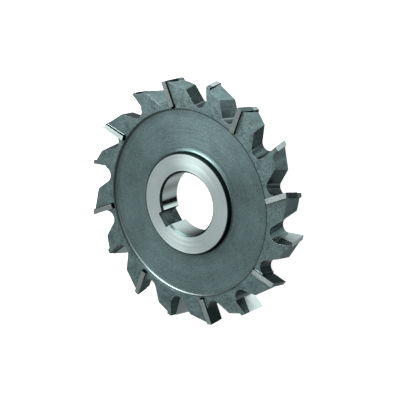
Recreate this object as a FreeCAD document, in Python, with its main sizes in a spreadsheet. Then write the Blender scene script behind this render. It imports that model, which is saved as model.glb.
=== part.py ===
import FreeCAD, Part
import math
import os

import Sketcher

# Side and face milling cutter with brazed carbide tips and alternating cutting sides.
# The bore axis is Z. The origin is on that axis, in the plane that the back face rests on.
# Lengths are in millimetres and angles in degrees.

# Driving sizes: name, value, what it measures
SIZES = (
    ("cutter_diameter", 125.0, "across the cutting edges"),
    ("cutter_width", 14.0, "across the side cutting edges and across the hub faces"),
    ("tooth_count", 16, "teeth, half of them cutting on each side"),
    ("bore_diameter", 32.0, "ground bore for the arbor"),
    ("bore_chamfer", 1.0, "chamfer at both ends of the bore"),
    ("key_width", 8.0, "width of the keyway"),
    ("key_depth", 2.8, "depth of the keyway below the bore wall"),
    ("key_corner_radius", 0.6, "corner radius of the keyway floor"),
    ("hub_wall", 10.0, "thickness of the raised ground hub around the bore"),
    ("hub_root_radius", 1.5, "fillet between hub and web"),
    ("web_width", 7.4, "thickness of the recessed web"),
    ("side_step", 1.4, "how far the side cutting edges stand out from the steel of the rim"),
    ("rim_wall", 2.5, "steel left between the recess in each side and the gullets"),
    ("recess_root_bevel", 0.5, "bevel between web and recess wall"),
    ("gullet_depth", 12.0, "from the cutting edges to the bottom of the gullets"),
    ("gullet_radius", 4.0, "radius of the gullet"),
    ("gullet_lead", 0.35, "how far the gullet stays ahead of the rake face"),
    ("ledge_drop", 0.95, "how far the foot of the rake face lies inside the gullet's centre"),
    ("facet_angle", 46.0, "back of the tooth, against the radius of the tooth behind"),
    ("rake_angle", 10.0, "radial rake"),
    ("relief_angle", 7.0, "relief behind the cutting edge"),
    ("edge_slant", 11.0, "slope of the cutting edge against the bore axis"),
    ("rake_setback", 0.25, "how far the tip stands ahead of the steel beside it"),
    ("land_step", 0.9, "drop from the tip to the steel land behind it"),
    ("land_angle", 25.5, "slope of the steel land behind the tip"),
    ("tip_set_depth", 5.0, "how far the carbide tip runs on below the foot of the rake face"),
    ("tip_thickness", 2.6, "carbide tip, across the rake face"),
    ("tip_overlap", 2.6, "how far the outer end of the tip reaches past the cutter's middle"),
    ("tip_shortfall", 2.0, "how far the inner end of the tip stays short of the middle"),
    ("seat_end_gap", 0.9, "clearance at the inner end of the seat"),
    ("seat_side_gap", 0.25, "clearance at the closed side of the seat"),
    ("seat_lip_gap", 0.35, "clearance between the rake face and the lip of the gullet"),
)

# How far a cut runs past the metal that it removes
OVERRUN = 4.0
# How far a tooth block starts inside the metal around it
BURIED = 1.0
# A tooth block is this much thinner than the tip, so that the seat clears it
BLOCK_SHORTFALL = 0.1
# Depth of a tooth block below the cutting edge
BLOCK_DEPTH = 6.0
# Share of the tooth pitch that the cut for a land covers
LAND_SHARE = 0.6

FRONT_HAND = 1
BACK_HAND = -1
HANDS = {"front": FRONT_HAND, "back": BACK_HAND}

FULL_TURN = 360
# Vertices this close to a place count as being there
POINT_TOLERANCE = 1e-4


class Size:
    """A number together with the sheet expression that gives it."""

    def __init__(self, value, text):
        self.value = value
        self.text = text

    @staticmethod
    def of(other):
        return other if isinstance(other, Size) else Size(float(other), repr(float(other)))

    def __add__(self, other):
        other = Size.of(other)
        return Size(self.value + other.value, f"({self.text} + {other.text})")

    def __sub__(self, other):
        other = Size.of(other)
        return Size(self.value - other.value, f"({self.text} - {other.text})")

    def __mul__(self, other):
        other = Size.of(other)
        return Size(self.value * other.value, f"({self.text} * {other.text})")

    def __truediv__(self, other):
        other = Size.of(other)
        return Size(self.value / other.value, f"({self.text} / {other.text})")

    def __neg__(self):
        return Size(-self.value, f"(-1 * {self.text})")


def tangent(angle):
    return Size(math.tan(math.radians(angle.value)), f"tan({angle.text})")


def sine(angle):
    return Size(math.sin(math.radians(angle.value)), f"sin({angle.text})")


def cosine(angle):
    return Size(math.cos(math.radians(angle.value)), f"cos({angle.text})")


def leg(slope_side, other_leg):
    """The third side of a right-angled triangle."""
    value = math.sqrt(slope_side.value**2 - other_leg.value**2)
    return Size(value, f"sqrt({slope_side.text}^2 - {other_leg.text}^2)")


def make_sheet(doc):
    """Write the driving sizes to the sheet and return them by name."""
    sheet = doc.addObject("Spreadsheet::Sheet", "Sizes")
    sizes = {}
    for row, (name, value, meaning) in enumerate(SIZES, start=1):
        sheet.set(f"A{row}", str(value))
        sheet.setAlias(f"A{row}", name)
        sheet.set(f"B{row}", meaning)
        sizes[name] = Size(float(value), f"Sizes.{name}")
    doc.recompute()
    return sizes


doc = FreeCAD.newDocument("side_and_face_cutter")
size = make_sheet(doc)

# Sizes that follow from the driving ones
tip_radius = size["cutter_diameter"] / 2
root_radius = tip_radius - size["gullet_depth"]
recess_radius = root_radius - size["rim_wall"]
bore_radius = size["bore_diameter"] / 2
hub_radius = bore_radius + size["hub_wall"]
half_width = size["cutter_width"] / 2
half_rim = half_width - size["side_step"]
through_all = size["cutter_width"] * 2
rake = size["rake_angle"]
relief = size["relief_angle"]
tooth_pitch = Size.of(FULL_TURN) / size["tooth_count"]
hand_count = size["tooth_count"] / 2
slant = tangent(size["edge_slant"])
# The gullet's centre, measured from the cutting edge: square ahead and along the rake face
centre_reach = root_radius + size["gullet_radius"]
centre_ahead = size["gullet_radius"] + size["gullet_lead"]
centre_offset = centre_ahead - tip_radius * sine(rake)
centre_along = leg(centre_reach, centre_offset) - tip_radius * cosine(rake)
# Foot of the open rake face, and inner end of the carbide tip below it
exposed_rake = size["ledge_drop"] - centre_along
tip_length = exposed_rake + size["tip_set_depth"]
# In a section across the bore axis, lengths square to the slanted rake face look this much longer
square_tilt = math.atan(slant.value * cosine(rake).value)
section_stretch = Size(
    1 / math.cos(square_tilt), f"(1 / cos(atan({slant.text} * cos({rake.text}))))"
)


def add_body(name):
    body = doc.addObject("PartDesign::Body", name)
    body.Label = name
    return body


def origin_plane(body, role):
    return next(item for item in body.Origin.OriginFeatures if item.Role == role)


def add_sketch(body, name, role="XY_Plane", height=None, turn=None):
    """Put a sketch on an origin plane, raised by a height and turned about the plane's normal."""
    sketch = body.newObject("Sketcher::SketchObject", name)
    sketch.AttachmentSupport = [(origin_plane(body, role), "")]
    sketch.MapMode = "FlatFace"
    if height is not None:
        sketch.setExpression("AttachmentOffset.Base.z", f"{height.text} * 1 mm")
    if turn is not None:
        sketch.setExpression("AttachmentOffset.Rotation.Yaw", f"{turn.text} * 1 deg")
    return sketch


def add_rake_sketch(body, name, hand, turn):
    """Put a sketch in the rake plane: x points outward, y to the front, the normal into the tip."""
    sketch = body.newObject("Sketcher::SketchObject", name)
    sketch.AttachmentSupport = [(origin_plane(body, "XY_Plane"), "")]
    sketch.MapMode = "FlatFace"
    edge_x = tip_radius * cosine(turn)
    edge_y = tip_radius * sine(turn)
    tilt = f"atan({slant.text} * cos({rake.text}))"
    sketch.setExpression("AttachmentOffset.Base.x", f"{edge_x.text} * 1 mm")
    sketch.setExpression("AttachmentOffset.Base.y", f"{edge_y.text} * 1 mm")
    sketch.setExpression("AttachmentOffset.Rotation.Yaw", f"({turn.text} + {rake.text}) * 1 deg")
    sketch.setExpression("AttachmentOffset.Rotation.Roll", f"90 deg - {hand} * {tilt}")
    return sketch


def bind(sketch, index, expression):
    sketch.setExpression(f"Constraints[{index}]", expression)


def bind_length(sketch, constraint, length):
    bind(sketch, sketch.addConstraint(constraint), f"{length.text} * 1 mm")


def place_point(sketch, geometry, end, point):
    """Fix a point of the sketch at its distances from the origin."""
    for kind, length in zip(("DistanceX", "DistanceY"), point):
        constraint = Sketcher.Constraint(kind, -1, 1, geometry, end, length.value)
        bind_length(sketch, constraint, length)


def draw_outline(sketch, points):
    """Draw a closed outline of straight runs through points given as pairs of sizes."""
    points = [(Size.of(x), Size.of(y)) for x, y in points]
    corners = [FreeCAD.Vector(x.value, y.value, 0) for x, y in points]
    following = corners[1:] + corners[:1]
    for start, end in zip(corners, following):
        sketch.addGeometry(Part.LineSegment(start, end), False)
    count = len(corners)
    for index in range(count):
        sketch.addConstraint(Sketcher.Constraint("Coincident", index, 2, (index + 1) % count, 1))
    for index, point in enumerate(points):
        place_point(sketch, index, 1, point)


def rake_point(along, ahead):
    """A point in the tooth's section: along the rake face outward, and square ahead of it."""
    x = tip_radius + along * cosine(rake) - ahead * sine(rake)
    y = along * sine(rake) + ahead * cosine(rake)
    return x, y


def relief_point(ahead):
    """The point of the relief line at a distance ahead of the rake face."""
    return rake_point(ahead * tangent(rake + relief), ahead)


def slant_feature(feature, hand, turn):
    """Run a feature both ways from its sketch, along the slanted cutting edge."""
    feature.SideType = "Symmetric"
    feature.UseCustomVector = True
    feature.AlongSketchNormal = True
    side = slant * hand
    feature.Direction = FreeCAD.Vector(0, side.value, 1)
    feature.setExpression("Direction.x", (-side * sine(turn)).text)
    feature.setExpression("Direction.y", (side * cosine(turn)).text)


def add_feature(body, kind, name, sketch, length):
    feature = body.newObject(f"PartDesign::{kind}", name)
    feature.Profile = sketch
    feature.setExpression("Length", f"{length.text} * 1 mm")
    feature.Refine = True
    return feature


def add_pattern(body, name, feature, count):
    pattern = body.newObject("PartDesign::PolarPattern", name)
    pattern.Originals = [feature]
    pattern.Axis = (origin_plane(body, "Z_Axis"), [""])
    pattern.Angle = FULL_TURN
    pattern.setExpression("Occurrences", count.text)
    body.Tip = pattern
    doc.recompute()
    return pattern


def edges_on(shape, test):
    """Names of the edges of a shape whose every vertex passes a test."""
    return [
        f"Edge{number}"
        for number, edge in enumerate(shape.Edges, start=1)
        if all(test(vertex.Point) for vertex in edge.Vertexes)
    ]


def add_fillet(body, name, base, edges, radius):
    fillet = body.newObject("PartDesign::Fillet", name)
    fillet.Base = (base, edges)
    fillet.setExpression("Radius", f"{radius.text} * 1 mm")
    doc.recompute()
    return fillet


def close_to(value, target):
    return abs(value - target) < POINT_TOLERANCE


def spin_blank(body):
    """Turn the disc: bore, raised hub, recessed web and rim."""
    chamfer = size["bore_chamfer"]
    bevel = size["recess_root_bevel"]
    half_web = size["web_width"] / 2
    upper = [
        (tip_radius, half_rim),
        (recess_radius, half_rim),
        (recess_radius, half_web + bevel),
        (recess_radius - bevel, half_web),
        (hub_radius, half_web),
        (hub_radius, half_width),
        (bore_radius + chamfer, half_width),
        (bore_radius, half_width - chamfer),
    ]
    lower = [(x, -z) for x, z in reversed(upper)]
    sketch = add_sketch(body, "BlankSection", "XZ_Plane")
    draw_outline(sketch, upper + lower)
    blank = body.newObject("PartDesign::Revolution", "Blank")
    blank.Profile = sketch
    blank.ReferenceAxis = (origin_plane(body, "Z_Axis"), [""])
    blank.Angle = FULL_TURN
    doc.recompute()

    def at_hub_root(point):
        on_hub = close_to(math.hypot(point.x, point.y), hub_radius.value)
        return on_hub and close_to(abs(point.z), half_web.value)

    roots = edges_on(blank.Shape, at_hub_root)
    add_fillet(body, "HubRoot", blank, roots, size["hub_root_radius"])


def cut_lands(body):
    """Mill the sloping steel land behind every tip, straight along the bore axis."""
    thickness = size["tip_thickness"] * section_stretch
    foot_along = -(thickness * tangent(rake + relief)) - size["land_step"]
    foot_x, foot_y = rake_point(foot_along, -thickness)
    slope = tangent(size["land_angle"])
    ahead = Size.of(OVERRUN)
    behind = -(tip_radius * sine(tooth_pitch) * LAND_SHARE)
    outside = tip_radius + OVERRUN
    sketch = add_sketch(body, "LandSection")
    draw_outline(
        sketch,
        [
            (foot_x + (ahead - foot_y) * slope, ahead),
            (outside, ahead),
            (outside, behind),
            (foot_x + (behind - foot_y) * slope, behind),
        ],
    )
    land = add_feature(body, "Pocket", "Land", sketch, through_all)
    land.SideType = "Symmetric"
    add_pattern(body, "Lands", land, size["tooth_count"])


def add_blocks(body, hand_name, turn):
    """Raise the slanted tooth tops that the tips are let into."""
    back = -(size["tip_thickness"] - BLOCK_SHORTFALL)
    front = Size.of(BURIED)
    sketch = add_sketch(body, f"Block_{hand_name}_section", turn=turn)
    draw_outline(
        sketch,
        [
            relief_point(front),
            relief_point(back),
            rake_point(Size.of(-BLOCK_DEPTH), back),
            rake_point(Size.of(-BLOCK_DEPTH), front),
        ],
    )
    block = add_feature(body, "Pad", f"Block_{hand_name}", sketch, half_rim * 2)
    slant_feature(block, HANDS[hand_name], turn)
    add_pattern(body, f"Blocks_{hand_name}", block, hand_count)


def draw_gullet(sketch):
    """Draw a tooth space: rake wall, ledge, round gullet and the back of the tooth ahead."""
    setback = size["rake_setback"]
    radius = size["gullet_radius"]
    facet = math.radians(size["facet_angle"].value)
    facet_way = FreeCAD.Vector(math.cos(facet), math.sin(facet), 0)
    rake_way = FreeCAD.Vector(cosine(rake).value, sine(rake).value, 0)
    outside = tip_radius + OVERRUN

    def start_point(along, ahead):
        x, y = rake_point(along, ahead)
        return FreeCAD.Vector(x.value, y.value, 0)

    def run_out(foot, way):
        return foot + way * ((outside.value - foot.x) / way.x)

    # Start values for the solver, where its constraints put the points
    level = Size.of(0)
    edge = start_point(level, level)
    ledge_foot = start_point(-exposed_rake, level)
    ledge_top = start_point(-exposed_rake, centre_ahead - leg(radius, size["ledge_drop"]))
    wall_foot = start_point(-exposed_rake, -setback)
    wall_top = run_out(wall_foot, rake_way)
    centre = start_point(centre_along, centre_ahead)
    facet_foot = centre + FreeCAD.Vector(-facet_way.y, facet_way.x, 0) * radius.value
    facet_top = run_out(facet_foot, facet_way)
    arc = Part.ArcOfCircle(
        Part.Circle(centre, FreeCAD.Vector(0, 0, 1), radius.value),
        math.atan2(facet_foot.y - centre.y, facet_foot.x - centre.x) % (2 * math.pi),
        math.atan2(ledge_top.y - centre.y, ledge_top.x - centre.x) % (2 * math.pi),
    )

    guide, wall, ledge, gullet, back, rim = range(6)
    sketch.addGeometry(Part.LineSegment(edge, ledge_foot), True)
    sketch.addGeometry(Part.LineSegment(wall_top, wall_foot), False)
    sketch.addGeometry(Part.LineSegment(wall_foot, ledge_top), False)
    sketch.addGeometry(arc, False)
    sketch.addGeometry(Part.LineSegment(facet_foot, facet_top), False)
    sketch.addGeometry(Part.LineSegment(facet_top, wall_top), False)

    start, end, middle = 1, 2, 3
    origin = (-1, 1)
    place_point(sketch, guide, start, (tip_radius, level))
    place_point(sketch, guide, end, rake_point(-exposed_rake, level))
    sketch.addConstraint(
        [
            Sketcher.Constraint("Coincident", wall, end, ledge, start),
            Sketcher.Constraint("Coincident", ledge, end, gullet, end),
            Sketcher.Constraint("Tangent", gullet, start, back, start),
            Sketcher.Constraint("Coincident", back, end, rim, start),
            Sketcher.Constraint("Coincident", rim, end, wall, start),
            Sketcher.Constraint("Parallel", wall, guide),
            Sketcher.Constraint("Perpendicular", ledge, guide),
            Sketcher.Constraint("PointOnObject", guide, end, ledge),
            Sketcher.Constraint("Vertical", rim),
        ]
    )
    lengths = (
        (("Distance", guide, start, wall), setback),
        (("Radius", gullet), radius),
        (("Distance", gullet, middle, *origin), centre_reach),
        (("Distance", gullet, middle, guide), centre_ahead),
        (("DistanceX", *origin, rim, end), outside),
    )
    for what, length in lengths:
        bind_length(sketch, Sketcher.Constraint(*what, length.value), length)
    slope = sketch.addConstraint(Sketcher.Constraint("Angle", -1, start, back, start, facet))
    bind(sketch, slope, f"{size['facet_angle'].text} * 1 deg")


def cut_gullets(body, hand_name, turn):
    """Mill the slanted tooth spaces ahead of the teeth of one hand."""
    sketch = add_sketch(body, f"Gullet_{hand_name}_section", turn=turn)
    draw_gullet(sketch)
    gullet = add_feature(body, "Pocket", f"Gullet_{hand_name}", sketch, through_all)
    slant_feature(gullet, HANDS[hand_name], turn)
    add_pattern(body, f"Gullets_{hand_name}", gullet, hand_count)


def draw_tip_outline(sketch, hand, end_gap, side_gap, reach):
    """Draw the four-sided tip in the rake plane, or its seat with clearances."""
    overlap = size["tip_overlap"]
    growth = (overlap + size["tip_shortfall"]) / tip_length
    top = Size.of(reach)
    bottom = tip_length + end_gap
    beyond = half_width + reach
    closed_top = -(overlap + side_gap + growth * top)
    closed_bottom = growth * bottom - overlap - side_gap
    stretch = section_stretch * hand
    draw_outline(
        sketch,
        [
            (top, beyond * stretch),
            (-bottom, beyond * stretch),
            (-bottom, closed_bottom * stretch),
            (top, closed_top * stretch),
        ],
    )


def cut_seats(body, hand_name, turn):
    """Cut the seats that the tips of one hand are brazed into, open at the cutting side."""
    hand = HANDS[hand_name]
    sketch = add_rake_sketch(body, f"Seat_{hand_name}_outline", hand, turn)
    draw_tip_outline(sketch, hand, size["seat_end_gap"], size["seat_side_gap"], OVERRUN)
    seat = add_feature(body, "Pocket", f"Seat_{hand_name}", sketch, size["tip_thickness"])
    seat.SideType = "Two sides"
    seat.Reversed = True
    seat.setExpression("Length2", f"{size['seat_lip_gap'].text} * 1 mm")
    add_pattern(body, f"Seats_{hand_name}", seat, hand_count)


def cut_keyway(body):
    """Broach the keyway along the bore, towards +Y."""
    half_key = size["key_width"] / 2
    floor = bore_radius + size["key_depth"]
    sketch = add_sketch(body, "KeywaySection")
    draw_outline(sketch, [(-half_key, 0), (half_key, 0), (half_key, floor), (-half_key, floor)])
    keyway = add_feature(body, "Pocket", "Keyway", sketch, through_all)
    keyway.SideType = "Symmetric"
    doc.recompute()

    def in_corner(point):
        return close_to(abs(point.x), half_key.value) and close_to(point.y, floor.value)

    corners = [
        name
        for name in edges_on(keyway.Shape, in_corner)
        if keyway.Shape.getElement(name).BoundBox.ZLength > half_width.value
    ]
    fillet = add_fillet(body, "KeywayCorners", keyway, corners, size["key_corner_radius"])
    body.Tip = fillet


def make_cutter_body(lift):
    """Make the steel disc with its bore, hub, web, tooth spaces, lands and seats."""
    body = add_body("cutter_body")
    spin_blank(body)
    cut_lands(body)
    turns = {"back": Size.of(0), "front": tooth_pitch}
    for hand_name, turn in turns.items():
        add_blocks(body, hand_name, turn)
    for hand_name, turn in turns.items():
        cut_gullets(body, hand_name, turn)
    for hand_name, turn in turns.items():
        cut_seats(body, hand_name, turn)
    cut_keyway(body)
    body.setExpression("Placement.Base.z", f"{lift.text} * 1 mm")
    return body


def make_tip(number, hand_name, lift):
    """Make one carbide tip and turn it to its tooth."""
    hand = HANDS[hand_name]
    level = Size.of(0)
    body = add_body(f"tip_{hand_name}_{number:02d}")
    label = body.Label
    outline = add_rake_sketch(body, f"{label}_outline", hand, level)
    draw_tip_outline(outline, hand, level, level, BURIED)
    add_feature(body, "Pad", f"{label}_plate", outline, size["tip_thickness"])

    # Side cutting face, in the plane of the cutter's width
    side = add_sketch(body, f"{label}_side", height=half_width * hand)
    inside = tip_radius - tip_length - OVERRUN
    outside = tip_radius + OVERRUN
    reach = size["tip_thickness"] + OVERRUN
    draw_outline(side, [(inside, -reach), (outside, -reach), (outside, reach), (inside, reach)])
    trim = add_feature(body, "Pocket", f"{label}_side_face", side, Size.of(OVERRUN))
    trim.Reversed = hand == FRONT_HAND

    # Relief behind the cutting edge
    crown = add_sketch(body, f"{label}_relief")
    back = -(size["tip_thickness"] + OVERRUN)
    front = Size.of(BURIED)
    above = Size.of(OVERRUN)
    draw_outline(
        crown,
        [relief_point(front), rake_point(above, front), rake_point(above, back), relief_point(back)],
    )
    relief_cut = add_feature(body, "Pocket", f"{label}_relief_face", crown, through_all)
    slant_feature(relief_cut, hand, level)
    body.Tip = relief_cut

    first = tooth_pitch if hand == FRONT_HAND else level
    place = first + tooth_pitch * (2 * (number - 1))
    if place.value > FULL_TURN / 2:
        place = place - FULL_TURN
    body.setExpression("Placement.Base.z", f"{lift.text} * 1 mm")
    body.setExpression("Placement.Rotation.Yaw", f"{place.text} * 1 deg")
    return body


def check_document(sub_parts):
    """Stop if any object failed or any sub-part has no valid shape."""
    for item in doc.Objects:
        if "Invalid" in item.State or "Error" in item.State:
            raise RuntimeError(f"{item.Name} failed: {item.State}")
    for body in sub_parts:
        if body.Shape.isNull() or not body.Shape.isValid():
            raise RuntimeError(f"{body.Label} has no valid shape")


def main():
    lift = half_width
    sub_parts = [make_cutter_body(lift)]
    per_hand = round(hand_count.value)
    for hand_name in HANDS:
        for number in range(1, per_hand + 1):
            sub_parts.append(make_tip(number, hand_name, lift))
    doc.recompute()
    check_document(sub_parts)
    os.makedirs("parts", exist_ok=True)
    for body in sub_parts:
        body.Shape.exportStep(os.path.join("parts", f"{body.Label}.step"))
        print(f"{body.Label}: {body.Shape.Volume:.1f} mm3, {len(body.Shape.Faces)} faces")


main()
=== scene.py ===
"""Looks of a side and face milling cutter with carbide tips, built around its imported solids.

The bore axis is Z and the cutter lies on the floor. Names that end in _mm are in millimetres and
names that end in _deg are in degrees. Other lengths are in metres.
"""

import logging
import math
from dataclasses import dataclass
from enum import Enum
from typing import Callable, ClassVar

import bpy
from mathutils import Euler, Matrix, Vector


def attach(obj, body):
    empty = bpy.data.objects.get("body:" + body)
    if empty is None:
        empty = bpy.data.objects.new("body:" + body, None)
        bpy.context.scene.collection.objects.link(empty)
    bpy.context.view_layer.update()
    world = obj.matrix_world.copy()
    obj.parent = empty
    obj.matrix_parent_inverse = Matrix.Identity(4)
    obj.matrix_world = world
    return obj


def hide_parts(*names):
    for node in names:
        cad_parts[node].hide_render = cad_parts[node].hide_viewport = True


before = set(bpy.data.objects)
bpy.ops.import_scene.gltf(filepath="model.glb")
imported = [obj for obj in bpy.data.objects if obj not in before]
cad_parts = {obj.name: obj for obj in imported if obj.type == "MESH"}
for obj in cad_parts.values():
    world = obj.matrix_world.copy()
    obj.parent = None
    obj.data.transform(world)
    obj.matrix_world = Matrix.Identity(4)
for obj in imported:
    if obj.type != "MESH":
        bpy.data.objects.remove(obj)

log = logging.getLogger("cutter")

MM = 0.001
# Corners nearer than this are one corner, and triangles that turn less than this are one face.
MERGE_MM = 0.002
FLAT_DEG = 0.6
# How far a face's normal rises: above FLAT_RISE the face is square to the bore axis, below
# UPRIGHT_RISE it stands along the axis, and SLOPE_RISE parts the steep faces from the sloped ones.
FLAT_RISE = 0.97
SLOPE_RISE = 0.3
UPRIGHT_RISE = 0.1
BEVEL_SEGMENTS = 2
BODY_NODE = "cutter_body"
ROOT_BODY = "root"

Color = tuple[float, float, float]
Socket = bpy.types.NodeSocket


class Hand(Enum):
    """Side of the cutter that a tooth cuts on."""

    FRONT = 1
    BACK = -1


class Zone(Enum):
    """Areas of the steel disc that are finished in different ways."""

    WEB = "web"
    RIM = "rim"
    HUB_FACE = "hub_face"
    HUB_WALL = "hub_wall"
    HUB_ROOT = "hub_root"
    RECESS_FOOT = "recess_foot"
    RECESS_WALL = "recess_wall"
    BORE = "bore"
    CHAMFER = "chamfer"
    KEYWAY = "keyway"
    LAND = "land"
    CROWN = "crown"
    FACET = "facet"
    GULLET = "gullet"
    SEAT = "seat"
    EDGE = "edge"


class TipFace(Enum):
    """Faces of a carbide tip, by how they are ground. Crowns and rakes are also split by hand,
    because the front-hand ones are painted in a shaded tone and the back-hand ones in a lit tone.
    Hidden faces are painted nearly black as shade.
    """

    SIDE = "side"
    CROWN_FRONT = "crown of a front-hand tip"
    CROWN_BACK = "crown of a back-hand tip"
    RAKE_FRONT = "rake of a front-hand tip"
    RAKE_BACK = "rake of a back-hand tip"
    HIDDEN = "hidden"


class Groove(Enum):
    """Direction that a tool or wheel has left its marks in."""

    AROUND = "around the bore axis"
    RADIAL = "away from the bore axis"
    AXIAL = "along the bore axis"
    NONE = "no direction"


class NodeGraph:
    """Short ways to add and link the nodes of one tree."""

    # Places of the colour sockets on a Mix node, which also has sockets for other kinds.
    COLOR_A = 6
    COLOR_B = 7
    COLOR_RESULT = 2

    def __init__(self, tree: bpy.types.NodeTree) -> None:
        """Start on the tree of a material, a node group or the room."""
        self.tree = tree

    def add(self, kind: str, **settings: object) -> bpy.types.Node:
        """Add a node.

        Args:
            kind: Node type without its "ShaderNode" start.
            **settings: Properties to set on the node.

        Returns:
            The new node.
        """
        node = self.tree.nodes.new(f"ShaderNode{kind}")
        for name, value in settings.items():
            setattr(node, name, value)
        return node

    def feed(self, socket: Socket, source: object) -> None:
        """Link an output to an input socket, or set the input's value."""
        if isinstance(source, bpy.types.NodeSocket):
            self.tree.links.new(source, socket)
        else:
            socket.default_value = source

    def math(self, operation: str, *values: object, clamp: bool = False) -> Socket:
        """Add a Math node.

        Args:
            operation: Name of the operation.
            *values: Sources for the inputs, in order.
            clamp: Whether the result stays between 0 and 1.

        Returns:
            The result.
        """
        node = self.add("Math", operation=operation, use_clamp=clamp)
        for socket, value in zip(node.inputs, values):
            self.feed(socket, value)
        return node.outputs[0]

    def ramp(self, value: Socket, low: float, high: float) -> Socket:
        """Spread a value so that low becomes 0 and high becomes 1.

        Args:
            value: Source value.
            low: Value that gives 0.
            high: Value that gives 1.

        Returns:
            The spread value, kept between 0 and 1.
        """
        node = self.add("MapRange", clamp=True)
        self.feed(node.inputs["Value"], value)
        self.feed(node.inputs["From Min"], low)
        self.feed(node.inputs["From Max"], high)
        return node.outputs["Result"]

    def blend(self, factor: object, first: object, second: object) -> Socket:
        """Mix two colours.

        Args:
            factor: Share of the second colour.
            first: Colour at factor 0.
            second: Colour at factor 1.

        Returns:
            The mixed colour.
        """
        node = self.add("Mix", data_type="RGBA")
        self.feed(node.inputs[0], factor)
        self.feed(node.inputs[self.COLOR_A], first)
        self.feed(node.inputs[self.COLOR_B], second)
        return node.outputs[self.COLOR_RESULT]

    def around_axis(self) -> tuple[Socket, Socket, Socket]:
        """Read the shaded point's place against the bore axis.

        Returns:
            Its place, the way to it square from the axis, and its distance from the axis.
        """
        place = self.add("TexCoord").outputs["Object"]
        flat = self.add("VectorMath", operation="MULTIPLY")
        self.feed(flat.inputs[0], place)
        flat.inputs[1].default_value = (1.0, 1.0, 0.0)
        length = self.add("VectorMath", operation="LENGTH")
        self.feed(length.inputs[0], flat.outputs[0])
        return place, flat.outputs[0], length.outputs["Value"]

    def noise(
        self, vector: Socket, scale: object, detail: float = 2.0, rough: float = 0.5
    ) -> Socket:
        """Add a noise texture.

        Args:
            vector: Place that the noise is read at.
            scale: Noise cells per metre.
            detail: Number of finer layers.
            rough: Strength of the finer layers.

        Returns:
            The noise value.
        """
        node = self.add("TexNoise")
        self.feed(node.inputs["Vector"], vector)
        self.feed(node.inputs["Scale"], scale)
        node.inputs["Detail"].default_value = detail
        node.inputs["Roughness"].default_value = rough
        return node.outputs["Fac"]


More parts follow.
